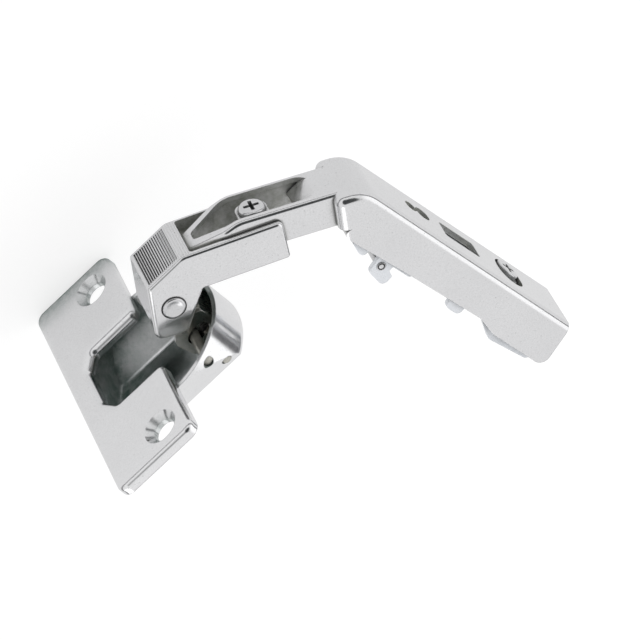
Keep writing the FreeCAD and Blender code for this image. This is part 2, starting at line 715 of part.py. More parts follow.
def front_plan(shrink):
    """Plan of the narrow front part: its tip, its spread and its run into the rear part."""
    end = ARM_JOGGLE_S + 2 * ARM_SHEET
    near_side = [
        (ARM_TIP_S - shrink, ARM_TIP_HALF - shrink, 1.2 - shrink),
        (ARM_TIP_SPREAD_S, ARM_FRONT_HALF - shrink, 4.0),
        (end, ARM_FRONT_HALF - shrink),
    ]
    far_side = [(corner[0], -corner[1], *corner[2:]) for corner in reversed(near_side)]
    return plan_prism(near_side + far_side, -REAR_LENGTH, REAR_LENGTH)


def rear_plan(shrink):
    """Plan of the wide rear part, from the joggle on."""
    half = ARM_REAR_HALF - shrink
    start = ARM_JOGGLE_S + shrink
    end = ARM_CORNER_S + 2 * REAR_LENGTH
    corner = REAR_BEND_ROUND + 0.1 - shrink
    return plan_prism([
        (start, -half, corner),
        (end, -half),
        (end, half),
        (start, half, corner),
    ], -2 * REAR_LENGTH, REAR_LENGTH)


def web_edges(block, chain, half):
    """Edges along the outside of a web that follows a chain, on both sides and round its front."""
    below = 2 * REAR_LENGTH
    strip = [corner for corner in chain]
    strip += [(chain[-1][0], chain[-1][1] - below), (chain[0][0], chain[0][1] - below)]
    slab = side_prism(strip, -half - 1, half + 1)
    skin = Part.makeCompound([face for face in slab.Faces if is_web_face(face, chain)])
    found = []
    for edge in block.Edges:
        first, last = edge.ParameterRange
        spots = [edge.valueAt(first + (last - first) * part) for part in (0.2, 0.5, 0.8)]
        on_web = all(skin.distToShape(Part.Vertex(spot))[0] < 1e-3 for spot in spots)
        across = edge.BoundBox.ZLength > half or max(abs(spot.z) for spot in spots) < half / 3
        if on_web and not across:
            found.append(edge)
    return found


def is_web_face(face, chain):
    """Whether a face of a web's side-view slab is part of the web."""
    if abs(face.CenterOfMass.z) > 1e-3:
        return False
    normal = face.normalAt(0, 0)
    along = Vector(chain[-1][0] - chain[0][0], chain[-1][1] - chain[0][1], 0).normalize()
    upright = abs(normal.x) > 1 - 1e-6
    level = face.CenterOfMass.y < min(corner[1] for corner in chain) - 1
    return not upright and not level and along.Length > 0


def arm_block():
    """Solid outside shape of the arm: the narrow front part let into the wide rear part."""
    front_end = (ARM_CORNER_S, ARM_WEB_H)
    front_chain = arm_top_chain(REAR_LENGTH)[:2] + [front_end]
    front = side_prism(front_chain + [(ARM_CORNER_S, ARM_LOW_H), (ARM_TIP_S, ARM_LOW_H, 1.0)],
                       -ARM_FRONT_HALF, ARM_FRONT_HALF)
    front = front.common(front_plan(0))
    front = front.makeFillet(ARM_BEND_ROUND, web_edges(front, front_chain, ARM_FRONT_HALF))
    rear_chain = [(ARM_JOGGLE_S, ARM_WEB_H)] + arm_top_chain(REAR_LENGTH)[2:]
    rear = side_prism(rear_chain + [
        rear_point(REAR_LENGTH + REAR_END_LEAN, REAR_SKIRT_H, REAR_CORNER_ROUND),
        rear_point(REAR_STEP_S + REAR_STEP_RUN, REAR_SKIRT_H, 2.0),
        rear_point(REAR_STEP_S, REAR_LOW_END, 1.5),
        rear_point(REAR_LOW_MIDDLE_S, REAR_LOW_MIDDLE, REAR_LOW_BEND),
        front_low_corner(),
        (ARM_JOGGLE_S, ARM_LOW_H),
    ], -ARM_REAR_HALF, ARM_REAR_HALF)
    rear = rear.common(rear_plan(0))
    rear = rear.makeFillet(REAR_BEND_ROUND, web_edges(rear, rear_chain, ARM_REAR_HALF))
    return joined([rear, front])


def make_cranked_arm():
    """One bent channel: narrow front part, joggle, crank and wide rear part."""
    inner = inset_chain(arm_top_chain(REAR_LENGTH + REAR_END_LEAN * 3), ARM_SHEET)
    back = (ARM_TIP_S - ARM_SHEET * 2, inner[0][1])
    hollow_outline = [back] + inner + [
        rear_point(REAR_LENGTH + REAR_END_LEAN * 3, -REAR_LENGTH / 2),
        (ARM_TIP_S - ARM_SHEET * 2, -REAR_LENGTH / 2),
    ]
    hollow = side_prism(hollow_outline, -ARM_REAR_HALF, ARM_REAR_HALF)
    arm = arm_block()
    arm = arm.cut(hollow.common(rear_plan(ARM_SHEET)))
    arm = arm.cut(hollow.common(front_plan(ARM_SHEET)))
    arm = arm.cut(front_window())
    arm = joined([arm, screw_tongue(), window_flap()])
    screw_hole_radius = OVERLAY_THREAD_RADIUS + RUNNING_FIT
    arm = arm.cut(post(OVERLAY_SCREW_S, OVERLAY_SCREW_Z, screw_hole_radius, 0, ARM_WEB_H + 1))
    for cutter in rear_web_cuts():
        arm = arm.cut(placed(cutter, REAR_IN_ARM))
    return placed(arm, ARM_FRAME)


def screw_tongue():
    """Tab bent in from the near wall, under the window, that holds the overlay screw."""
    wall = ARM_FRONT_HALF - ARM_SHEET / 2
    return plan_prism([
        (TONGUE_START, TONGUE_FAR, 2.4),
        (TONGUE_END, TONGUE_FAR, 2.4),
        (TONGUE_END, wall),
        (TONGUE_START, wall),
    ], TONGUE_TOP_H - ARM_SHEET, TONGUE_TOP_H)


def front_low_corner():
    """Corner where the front part's lower edge meets the rear part's."""
    start = Vector(*rear_point(0, REAR_LOW_START)[:2], 0)
    run = Vector(*rear_point(1, REAR_LOW_START)[:2], 0) - start
    share = (ARM_LOW_H - start.y) / run.y
    return (start.x + run.x * share, ARM_LOW_H, 1.5)


def window_flap():
    """Flap bent down from the web at the window's rear end."""
    start = FRONT_WINDOW_END - ARM_SHEET / 2
    run = Vector(WINDOW_FLAP_RUN, WINDOW_FLAP_DROP, 0).normalize() * ARM_SHEET
    low_s = start - WINDOW_FLAP_RUN
    low_h = ARM_WEB_H - WINDOW_FLAP_DROP
    return side_prism([
        (start, ARM_WEB_H),
        (start + 2 * ARM_SHEET, ARM_WEB_H),
        (start + 2 * ARM_SHEET, ARM_WEB_H - ARM_SHEET),
        (start + run.y, ARM_WEB_H - run.x, ARM_SHEET),
        (low_s + run.y, low_h - run.x, ARM_SHEET / 4),
        (low_s, low_h, ARM_SHEET / 4),
    ], -FRONT_WINDOW_HALF, FRONT_WINDOW_HALF)


def front_window():
    """Long pear-shaped window in the front part's web."""
    return plan_prism([
        (FRONT_WINDOW_START, -1.2, 0.9),
        (ARM_TIP_SPREAD_S + 1.0, -FRONT_WINDOW_HALF, 5.0),
        (FRONT_WINDOW_END, -FRONT_WINDOW_HALF, 3.4),
        (FRONT_WINDOW_END, FRONT_WINDOW_HALF, 3.4),
        (ARM_TIP_SPREAD_S + 1.0, FRONT_WINDOW_HALF, 5.0),
        (FRONT_WINDOW_START, 1.2, 0.9),
    ], 0, ARM_WEB_H + 1)


def rear_web_cuts():
    """Keyhole, slot and cam opening of the rear web, in the rear frame."""
    low = -ARM_SHEET - 0.2
    keyhole = post(KEYHOLE_S, KEYHOLE_Z, KEYHOLE_SMALL_RADIUS, low, 1)
    keyhole = keyhole.fuse(post(KEYHOLE_S + KEYHOLE_PITCH, KEYHOLE_Z, KEYHOLE_RADIUS, low, 1))
    neck = KEYHOLE_SMALL_RADIUS * 0.45
    keyhole = keyhole.fuse(plan_prism([
        (KEYHOLE_S, KEYHOLE_Z - neck),
        (KEYHOLE_S + KEYHOLE_PITCH, KEYHOLE_Z - neck),
        (KEYHOLE_S + KEYHOLE_PITCH, KEYHOLE_Z + neck),
        (KEYHOLE_S, KEYHOLE_Z + neck),
    ], low, 1))
    slot = plan_prism([
        (WEB_SLOT_START, WEB_SLOT_Z - WEB_SLOT_HALF, WEB_SLOT_CORNER),
        (WEB_SLOT_END, WEB_SLOT_Z - WEB_SLOT_HALF, WEB_SLOT_CORNER),
        (WEB_SLOT_END, WEB_SLOT_Z + WEB_SLOT_HALF, WEB_SLOT_CORNER),
        (WEB_SLOT_START, WEB_SLOT_Z + WEB_SLOT_HALF, WEB_SLOT_CORNER),
    ], low, 1)
    wide = CAM_DISC_RADIUS + CAM_PLAY
    reach = CAM_THROW + wide
    cam = plan_prism([
        (CAM_S - wide, -reach, wide * 0.98),
        (CAM_S + wide, -reach, wide * 0.98),
        (CAM_S + wide, reach - CAM_PLAY, wide * 0.98),
        (CAM_S - wide, reach - CAM_PLAY, wide * 0.98),
    ], low, 1)
    return [keyhole, slot, cam]


def cross_recess(s, z, top):
    """Cross-shaped driver recess that narrows downwards."""
    arms = []
    for wide, long in ((RECESS_ARM, RECESS_REACH), (RECESS_REACH, RECESS_ARM)):
        upper = Part.makePolygon([
            Vector(s - wide, top, z - long), Vector(s + wide, top, z - long),
            Vector(s + wide, top, z + long), Vector(s - wide, top, z + long),
            Vector(s - wide, top, z - long)])
        shrink = RECESS_POINT
        low_wide = wide * shrink
        low_long = long * shrink
        level = top - RECESS_DEPTH
        lower = Part.makePolygon([
            Vector(s - low_wide, level, z - low_long), Vector(s + low_wide, level, z - low_long),
            Vector(s + low_wide, level, z + low_long), Vector(s - low_wide, level, z + low_long),
            Vector(s - low_wide, level, z - low_long)])
        arms.append(Part.makeLoft([upper, lower], True, True))
    return arms[0].fuse(arms[1])


def make_overlay_screw():
    """Cross-recessed screw held by the arm's tongue and running in the nose's saddle."""
    s = OVERLAY_SCREW_S
    z = OVERLAY_SCREW_Z
    top = TONGUE_TOP_H + OVERLAY_HEAD_HEIGHT
    head = post(s, z, OVERLAY_HEAD_RADIUS, TONGUE_TOP_H, top)
    rim = [edge for edge in head.Edges if edge.BoundBox.YMin > top - 1e-3]
    head = head.makeFillet(OVERLAY_HEAD_HEIGHT * 0.6, rim)
    under = TONGUE_TOP_H - ARM_SHEET
    neck = post(s, z, OVERLAY_THREAD_RADIUS, under - OVERLAY_COLLAR, TONGUE_TOP_H)
    shank = post(s, z, OVERLAY_ROOT_RADIUS, OVERLAY_END_H, under)
    collar = post(s, z, OVERLAY_COLLAR_RADIUS, under - OVERLAY_COLLAR, under)
    screw = joined([neck, shank, head, collar]).cut(cross_recess(s, z, top))
    return placed(screw, ARM_FRAME)


def make_clip_base():
    """Zinc channel inside the rear part, with lugs, hooks and ears for the release lever."""
    top = CLIP_WEB_TOP
    low = CLIP_WALL_H
    walls = side_prism([
        (CLIP_START, top, 1.0),
        (CLIP_END, top),
        (CLIP_END, low, 0.8),
        (REAR_LUG_END, low, 0.6),
        (REAR_LUG_END, LUG_H, 1.2),
        (REAR_LUG_START, LUG_H, 1.2),
        (REAR_LUG_START - 0.4, low, 0.6),
        (MIDDLE_LUG_END, low, 0.8),
        (MIDDLE_LUG_END - 0.8, MIDDLE_LUG_H, 0.8),
        (HOOK_NECK, MIDDLE_LUG_H, 0.3),
        (HOOK_NECK, HOOK_NOTCH_H, 0.3),
        (HOOK_END, HOOK_NOTCH_H - HOOK_NOTCH_RADIUS, 0.4),
        (HOOK_END, HOOK_LOW_H, 1.3),
        (HOOK_START + 0.9, HOOK_LOW_H + 0.9, 1.1),
        (HOOK_START, low, 0.4),
        (FRONT_LUG_END, low, 0.6),
        (FRONT_LUG_END - 0.2, FRONT_LUG_H, 0.9),
        (FRONT_LUG_END - 1.8, FRONT_LUG_H, 1.0),
        (FRONT_LUG_START, LUG_EDGE_H, 0.2),
        (CLIP_START, LUG_EDGE_H + 0.15, 0.2),
    ], CLIP_INSIDE, CLIP_HALF)
    web = side_prism([
        (CLIP_START, top - CLIP_SHEET, 0.3),
        (CLIP_START, top, 0.3),
        (CLIP_WEB_END, top),
        (CLIP_WEB_END, top - CLIP_SHEET),
    ], -CLIP_HALF, CLIP_HALF)
    ear = side_prism([
        (LEVER_PIVOT_S - CLIP_EAR_FOOT, top - CLIP_SHEET / 2),
        (LEVER_PIVOT_S + CLIP_EAR_FOOT, top - CLIP_SHEET / 2),
        (LEVER_PIVOT_S + LEVER_EAR_RADIUS, LEVER_PIVOT_H - LEVER_EAR_RADIUS, 1.8),
        (LEVER_PIVOT_S - LEVER_EAR_RADIUS, LEVER_PIVOT_H - LEVER_EAR_RADIUS, 1.8),
    ], CLIP_INSIDE, CLIP_HALF)
    base = joined([web] + both_sides(walls) + both_sides(ear))
    base = base.cut(bar(CATCH_PIN_S, CATCH_PIN_H, CATCH_PIN_RADIUS, -ARM_REAR_HALF, ARM_REAR_HALF))
    base = base.cut(bar(LEVER_PIVOT_S, LEVER_PIVOT_H, LEVER_PIN_RADIUS, -ARM_REAR_HALF, ARM_REAR_HALF))
    base = base.cut(post(CAM_S, 0, CAM_SHANK_RADIUS + RUNNING_FIT, top - 2 * CLIP_SHEET, 0))
    slot_half = WEB_SLOT_HALF + CLIP_SLOT_MARGIN
    slot_ends = (WEB_SLOT_START - CLIP_SLOT_MARGIN, WEB_SLOT_END + CLIP_SLOT_MARGIN)
    slot = plan_prism([
        (slot_ends[0], WEB_SLOT_Z - slot_half, 2 * WEB_SLOT_CORNER),
        (slot_ends[1], WEB_SLOT_Z - slot_half, 2 * WEB_SLOT_CORNER),
        (slot_ends[1], WEB_SLOT_Z + slot_half, 2 * WEB_SLOT_CORNER),
        (slot_ends[0], WEB_SLOT_Z + slot_half, 2 * WEB_SLOT_CORNER),
    ], top - 2 * CLIP_SHEET, 0)
    base = base.cut(slot)
    return placed(base, REAR_FRAME)


def make_catch_pin():
    """Pin across the clip base's hooks that catches the mounting plate."""
    half = CLIP_HALF + CATCH_PIN_HEAD
    pin = bar(CATCH_PIN_S, CATCH_PIN_H, CATCH_PIN_RADIUS, -half, half)
    return placed(pin, REAR_FRAME)


def make_depth_cam_screw():
    """Cross-recessed eccentric that turns in the clip base and moves the arm along."""
    disc = post(CAM_S, -CAM_THROW, CAM_DISC_RADIUS, CLIP_WEB_TOP + CLIP_WEB_GAP / 2, CAM_DISC_TOP)
    head_z = -CAM_THROW - (CAM_DISC_RADIUS - CAM_HEAD_RADIUS) * 0.9
    head = post(CAM_S, head_z, CAM_HEAD_RADIUS, CAM_DISC_TOP, CAM_PROUD)
    rim = [edge for edge in head.Edges if edge.BoundBox.YMin > CAM_PROUD - 1e-3]
    head = head.makeFillet(CAM_EDGE_ROUND, rim)
    web_low = CLIP_WEB_TOP - CLIP_SHEET
    shank = post(CAM_S, 0, CAM_SHANK_RADIUS, web_low - CAM_COLLAR / 2, CAM_DISC_TOP)
    collar = post(CAM_S, 0, CAM_COLLAR_RADIUS, web_low - CAM_COLLAR - RUNNING_FIT, web_low - RUNNING_FIT)
    screw = joined([shank, disc, head, collar]).cut(cross_recess(CAM_S, head_z, CAM_PROUD))
    return placed(screw, REAR_FRAME)


def make_release_lever():
    """Rear lever with two cheeks and a thumb plate, which lets the arm off its mounting plate."""
    cheek = side_prism([
        (LEVER_START, LEVER_PIVOT_H - LEVER_NOSE_DROP, 0.8),
        (LEVER_PIVOT_S - LEVER_FRONT_REACH, LEVER_TOP_H, 1.0),
        (LEVER_END, LEVER_TOP_H, 1.0),
        (LEVER_END + LEVER_LOW_LEAN, LEVER_LOW_H + LEVER_LOW_RISE, 1.2),
        (LEVER_PIVOT_S - LEVER_FRONT_REACH / 2, LEVER_LOW_H, 2.4),
        (LEVER_START + LEVER_NOSE, LEVER_LOW_FRONT_H, 1.6),
    ], LEVER_HALF - CLIP_SHEET, LEVER_HALF)
    plate = side_prism([
        (LEVER_END - CLIP_SHEET, LEVER_TOP_H - 1.0),
        (LEVER_END, LEVER_TOP_H - 1.0),
        (LEVER_END, LEVER_LOW_H + LEVER_NOSE),
        (LEVER_END - CLIP_SHEET, LEVER_LOW_H + LEVER_NOSE),
    ], -LEVER_HALF + CLIP_SHEET / 2, LEVER_HALF - CLIP_SHEET / 2)
    lever = joined(both_sides(cheek) + [plate])
    lever = lever.cut(bar(LEVER_PIVOT_S, LEVER_PIVOT_H, LEVER_PIN_RADIUS + RUNNING_FIT,
                          -ARM_REAR_HALF, ARM_REAR_HALF))
    return placed(lever, REAR_FRAME)


def make_lever_pin():
    """Pivot pin of the release lever, set in the clip base's ears."""
    pin = bar(LEVER_PIVOT_S, LEVER_PIVOT_H, LEVER_PIN_RADIUS, -CLIP_HALF, CLIP_HALF)
    return placed(pin, REAR_FRAME)


def make_closing_spring():
    """Torsion spring on the deep axle that holds the door shut."""
    body = joined(coil(SPRING_TURNS, AXLE_RADIUS, SPRING_LEG))
    body.rotate(Vector(0, 0, 0), UP, -90)
    body.translate(Vector(DEEP_AXLE_X, DEEP_AXLE_Y, 0))
    return body


def make_lever_spring():
    """Torsion spring on the lever pin that holds the lever down."""
    body = joined(coil(LEVER_SPRING_TURNS, LEVER_PIN_RADIUS, LEVER_SPRING_LEG))
    body.rotate(Vector(0, 0, 0), UP, 90)
    body.translate(Vector(LEVER_PIVOT_S, LEVER_PIVOT_H, 0))
    return placed(body, REAR_FRAME)


PIECES = {
    "cup": make_cup,
    "front_axle": make_front_axle,
    "deep_axle": make_deep_axle,
    "outer_link": make_outer_link,
    "rivet_link": make_rivet_link,
    "closing_spring": make_closing_spring,
    "nose_piece": make_nose_piece,
    "nose_rivet": make_nose_rivet,
    "nose_pins": make_nose_pins,
    "rivet_spacers": make_rivet_spacers,
    "nose_saddle": make_nose_saddle,
    "cranked_arm": make_cranked_arm,
    "overlay_screw": make_overlay_screw,
    "clip_base": make_clip_base,
    "catch_pin": make_catch_pin,
    "depth_cam_screw": make_depth_cam_screw,
    "release_lever": make_release_lever,
    "lever_pin": make_lever_pin,
    "lever_spring": make_lever_spring,
}


def main():
    """Write one file for each piece, with the origin midway between the flange screws."""
    os.makedirs("parts", exist_ok=True)
    for name, make in PIECES.items():
        placed(make(), ROW_FRAME).exportStep(f"parts/{name}.step")


main()
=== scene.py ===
import bpy
import bmesh
import json
import math
from mathutils import Matrix, Vector


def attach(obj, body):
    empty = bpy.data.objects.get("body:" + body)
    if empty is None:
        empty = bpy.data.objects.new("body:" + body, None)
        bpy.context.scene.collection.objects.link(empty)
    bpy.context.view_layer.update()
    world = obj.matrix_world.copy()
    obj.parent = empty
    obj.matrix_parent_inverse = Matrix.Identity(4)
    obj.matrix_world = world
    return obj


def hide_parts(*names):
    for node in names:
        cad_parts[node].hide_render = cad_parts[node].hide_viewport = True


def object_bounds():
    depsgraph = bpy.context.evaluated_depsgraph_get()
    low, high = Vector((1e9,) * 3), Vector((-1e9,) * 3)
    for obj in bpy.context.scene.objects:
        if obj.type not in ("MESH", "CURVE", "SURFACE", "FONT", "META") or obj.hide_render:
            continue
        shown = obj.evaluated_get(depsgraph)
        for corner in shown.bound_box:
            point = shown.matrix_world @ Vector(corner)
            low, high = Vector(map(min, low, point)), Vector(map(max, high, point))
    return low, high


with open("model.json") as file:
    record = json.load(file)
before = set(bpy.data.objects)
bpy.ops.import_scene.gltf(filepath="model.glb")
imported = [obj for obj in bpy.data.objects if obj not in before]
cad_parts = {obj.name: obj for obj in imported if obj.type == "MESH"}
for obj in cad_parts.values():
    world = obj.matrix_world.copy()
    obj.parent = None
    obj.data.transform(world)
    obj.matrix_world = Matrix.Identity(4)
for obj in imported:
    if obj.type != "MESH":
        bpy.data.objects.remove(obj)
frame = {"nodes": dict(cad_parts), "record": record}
cad_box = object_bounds()

# Flat frames of the part, its nose, the arm's front and the arm's rear, as in the part's source.
# Each is a place in mm and an angle in degrees inside the frame before it.
MM = 0.001
NOSE_IN_PART = (-16.8, -8.3, 150.4)
ARM_IN_NOSE = (7.0, 9.3, -3.4)
REAR_IN_ARM = (38.0, 5.3, -51.6)

# Metal closed in by other metal, where shade is painted into recesses and seams: reach in metres, then
# the open share at which it is full and at which it ends.
SHADED_RECESS = (0.012, 0.48, 0.80)
SHADED_SEAM = (0.0009, 0.48, 0.84)
SHELTER_SAMPLES = 6

# Noise of the plating: its scale, detail and roughness.
BLOTCHES = (70.0, 4.0, 0.5)
LINES = (900.0, 5.0, 0.6)
SPECKLE = (3800.0, 3.0, 0.7)
PRICKS = (2600.0, 2.0, 0.5)
# The patches mottle the painted shade in recesses.
SHADE_PATCHES = (420.0, 4.0, 0.7)

# What noise becomes: its least and most, then the noise at which each is reached.
NOISE_LOW = 0.35
NOISE_HIGH = 0.65
SPECKLE_SHARE = (0.0, 0.6, 0.4, 0.7)
PRICK_SHARE = (0.0, 1.0, 0.66, 0.74)
SHADE_PATCH_SHARE = (0.62, 1.0, 0.40, 0.60)

# Shares of a metal's dark tone, the height of its grain in metres, and samples of its edges.
SPECKLE_SHADE = 0.86
PRICK_SHADE = 0.72
# SEAM_SHADE is the share of the dark tone to which painted shade darkens seams.
SEAM_SHADE = 0.10
GRAIN_HEIGHT = 0.00001
EDGE_SAMPLES = 4

# Places of the colour sockets on a Mix node.
MIX_FIRST = 6
MIX_SECOND = 7
MIX_RESULT = 2

# Tones of each metal, the tone that painted shade takes in its recesses, the ends of its roughness, the
# stretch of its drawing lines and what else sets it apart. Bend is in metres.
METALS = {
    # The cup's nickel is lighter than the arm's: painted light that makes up for the shaded floor the
    # cup mirrors.
    "nickel_plate": {
        "light": (0.85, 0.85, 0.86), "dark": (0.81, 0.81, 0.82), "recess_shade_tone": (0.092, 0.172, 0.142),
        "smooth": 0.09, "dull": 0.20, "stretch": (0.15, 1.0, 1.0), "bend": 0.00032},
    "nickel_plate_arm": {
        "light": (0.78, 0.78, 0.79), "dark": (0.75, 0.75, 0.76), "recess_shade_tone": (0.31, 0.318, 0.278),
        "smooth": 0.09, "dull": 0.20, "stretch": (1.0, 0.2, 1.0)},
    "nickel_plate_link": {
        "light": (0.74, 0.74, 0.73), "dark": (0.62, 0.62, 0.60), "recess_shade_tone": (0.44, 0.43, 0.39),
        "smooth": 0.12, "dull": 0.28, "stretch": (0.6, 0.2, 1.0), "veil": 0.08, "bare": 1.0},
    "blue_zinc": {
        "light": (0.84, 0.86, 0.89), "dark": (0.78, 0.80, 0.84), "recess_shade_tone": (0.24, 0.255, 0.26),
        "smooth": 0.18, "dull": 0.36, "stretch": (1.0, 0.3, 1.0), "grain": 0.4},
    "drawn_steel": {
        "light": (0.62, 0.61, 0.57), "dark": (0.48, 0.47, 0.43), "recess_shade_tone": (0.20, 0.195, 0.17),
        "smooth": 0.18, "dull": 0.36, "stretch": (1.0, 1.0, 0.1), "bend": 0.0001},
    "spring_wire": {
        "light": (0.42, 0.41, 0.40), "dark": (0.28, 0.27, 0.26), "recess_shade_tone": (0.12, 0.12, 0.115),
        "smooth": 0.25, "dull": 0.45, "stretch": (1.0, 1.0, 1.0), "bend": 0.00005},
    "screw_metal": {
        "light": (0.76, 0.76, 0.77), "dark": (0.66, 0.66, 0.67), "recess_shade_tone": (0.22, 0.225, 0.225),
        "smooth": 0.12, "dull": 0.26, "stretch": (1.0, 1.0, 1.0), "bend": 0.0001},
}

# Solids that a smoothed copy stands for, with its name and metal. Its doubles merge within a
# distance in metres.
FINISHES = {
    "cup": ("cup_shell", "nickel_plate"),
    "front_axle": ("front_axle_rod", "drawn_steel"),
    "deep_axle": ("deep_axle_rod", "drawn_steel"),
    "outer_link": ("outer_link_channel", "nickel_plate_link"),
    "rivet_link": ("rivet_link_channel", "nickel_plate_link"),
    "nose_piece": ("nose_cover", "nickel_plate_arm"),
    "nose_pins": ("nose_pin_pair", "drawn_steel"),
    "rivet_spacers": ("rivet_spacer_pair", "drawn_steel"),
    "nose_saddle": ("nose_saddle_plate", "blue_zinc"),
    "cranked_arm": ("cranked_arm_channel", "nickel_plate_arm"),
    "overlay_screw": ("overlay_screw_body", "screw_metal"),
    "clip_base": ("clip_channel", "blue_zinc"),
    "depth_cam_screw": ("depth_cam", "screw_metal"),
    "release_lever": ("release_lever_plate", "blue_zinc"),
    "lever_pin": ("lever_pin_rod", "drawn_steel"),
}
MERGE_DISTANCE = 0.000002
FLAT_FACE_WEIGHT = 80

# Bends sharper than these angles, in degrees, keep a crisp edge.
SOLID_CREASE = 31
GROWN_CREASE = 40
TURNED_CREASE = 38

# Springs on the deep axle and on the lever's pin. Lengths from here to the floor are in mm.
WIRE_RADIUS = 0.45
SPRING_GAP = 0.12
SPRING_PITCH = 1.0
SPRINGS = {
    "closing_spring": {"frame": "part", "centre": (-16.37, 6.92), "bore": 1.2, "turns": 5,
                       "leg": 4.0, "leg_angle": -90},
    "lever_spring": {"frame": "rear", "centre": (53.6, -6.4), "bore": 1.0, "turns": 4,
                     "leg": 4.4, "leg_angle": 90},
}
COIL_STEPS = 40
WIRE_STEPS = 16

# Thread of the overlay screw, up from the screw's end.
THREAD_PLACE = (14.6, -8.2, 1.1)
THREAD_LENGTH = 10.1
THREAD_RADIUS = 1.68
THREAD_PITCH = 0.7
THREAD_DEPTH = 0.30
THREAD_STEPS = 36
THREAD_CORNERS = 4

# Rounded crests of the ridges, up the nose's ramp and round its bend to the window.
RAMP_FOOT = Vector((-4.4, 6.4, 0.0))
RAMP_TOP = Vector((4.3, 11.4, 0.0))
RAMP_BEND = 3.0
BEND_STEPS = 8
FIRST_CREST = 0.7
LAST_CREST_S = 6.0
CREST_PITCH = 0.56
CREST_LENGTH = 12.2
CREST_RADIUS = 0.10
CREST_DEPTH = 0.04
CREST_STEPS = 12

# Turned rivet with a dished head at each end, and the catch pin with ringed ends.
# Each profile is the (radius, height) points of the upper half.
TURNED_STEPS = 64
TURNED = {
    "nose_rivet": {"frame": "nose", "centre": (0.0, 0.0), "half": [
        (1.5, 6.9), (2.5, 7.0), (2.5, 7.18), (2.44, 7.33), (2.28, 7.44), (2.05, 7.49),
        (1.85, 7.47), (1.4, 7.37), (0.8, 7.31), (0.0, 7.29)]},
    "catch_pin": {"frame": "rear", "centre": (16.4, -12.2), "half": [
        (1.0, 6.0), (1.0, 7.08), (0.95, 7.15), (0.86, 7.16), (0.80, 7.08), (0.74, 6.88),
        (0.66, 6.88), (0.60, 7.08), (0.52, 7.19), (0.30, 7.23), (0.0, 7.25)]},
}

# Floor, in metres, its lift to white for the camera, and the share of it that metal mirrors.
FLOOR_REACH = 0.9
FLOOR_GAP = 0.0005
FLOOR_TONE = (0.35, 0.35, 0.35, 1.0)
FLOOR_LIFT = 0.72
MIRRORED_SHARE = 0.74

# Room that the metal mirrors. A field has its direction, then the angles in degrees at which it
# is full and at which it ends. The skirting ends between two heights of the direction.
WHITE = (1.0, 1.0, 1.0, 1.0)
ROOM_TONE = (0.90, 0.90, 0.90)
BRIGHT_TONE = (1.3, 1.3, 1.3)
BRIGHT_WALL = ((-0.83, 0.45, 0.15), 28.0, 48.0)
SCREEN_TONE = (0.062, 0.065, 0.066)
DARK_SCREEN = ((-0.25, -0.45, 0.86), 24.0, 34.0)
SKIRTING_TONE = (0.16, 0.16, 0.165)
SKIRTING_TOP = 0.11
SKIRTING_FADE = 0.17

# Lamps, in metres and watts.
KEY_PLACE = (-0.9, 0.4, 0.5)
KEY_SIZE = 0.6
KEY_POWER = 4.0
FILL_PLACE = (0.8, 0.5, 0.6)
FILL_SIZE = 0.8
FILL_POWER = 1.6

# Camera at the photograph's angle: its axes and place, and its lens from pixels.
CAMERA_RIGHT = (-0.7179, 0.6247, 0.3073)
CAMERA_UP = (-0.6709, -0.5032, -0.5447)
CAMERA_BACK = (-0.1856, -0.5972, 0.7803)
CAMERA_PLACE = (-0.23790, -0.63493, 0.86289)
SENSOR_WIDTH = 36.0
LENS_PIXELS = 5211.5
PHOTO_PIXELS = 640.0
CLIP_NEAR = 0.05
CLIP_FAR = 20.0


# Places

def flat_frame(x, y, angle):
    """Matrix of a frame that lies in the XY plane, from mm and degrees."""
    return Matrix.Translation((x * MM, y * MM, 0.0)) @ Matrix.Rotation(math.radians(angle), 4, "Z")


def at(base, s, h, z=0.0):
    """Matrix of a place in a flat frame, from mm, with its local z along the pivots."""
    return base @ Matrix.Translation((s * MM, h * MM, z * MM))


PART = Matrix.Identity(4)
NOSE = flat_frame(*NOSE_IN_PART)
ARM = NOSE @ flat_frame(*ARM_IN_NOSE)
REAR = ARM @ flat_frame(*REAR_IN_ARM)
FRAMES = {"part": PART, "nose": NOSE, "rear": REAR}
ONTO_H = Matrix.Rotation(math.radians(-90), 4, "X")


# Nodes

def emptied(owner):
    """Empty node tree of a material or world."""
    owner.use_nodes = True
    owner.node_tree.nodes.clear()
    return owner.node_tree


def add(tree, kind, settings=None, places=None, **inputs):
    """Add a node, set its settings, and give its inputs, by name or by place, values or links."""
    node = tree.nodes.new(kind)
    for setting, value in (settings or {}).items():
        setattr(node, setting, value)
    filled = {name.replace("_", " "): value for name, value in inputs.items()}
    filled.update(places or {})
    for key, value in filled.items():
        if isinstance(value, bpy.types.NodeSocket):
            tree.links.new(value, node.inputs[key])
        else:
            node.inputs[key].default_value = value
    return node.outputs


def worked(tree, operation, *values):
    """Result of a sum on numbers or links."""
    return add(tree, "ShaderNodeMath", {"operation": operation}, dict(enumerate(values)))[0]


def spread(tree, value, low, high, start=NOISE_LOW, end=NOISE_HIGH, fade="LINEAR"):
    """A value between start and end, spread from low to high."""
    return add(tree, "ShaderNodeMapRange", {"interpolation_type": fade}, Value=value,
               From_Min=start, From_Max=end, To_Min=low, To_Max=high)["Result"]


def noise(tree, coordinates, scale, detail, roughness, stretch=(1.0, 1.0, 1.0)):
    """Noise on coordinates, stretched along one way where asked."""
    stretched = add(tree, "ShaderNodeMapping", Vector=coordinates, Scale=stretch)["Vector"]
    return add(tree, "ShaderNodeTexNoise", Vector=stretched, Scale=scale, Detail=detail,
               Roughness=roughness)["Fac"]


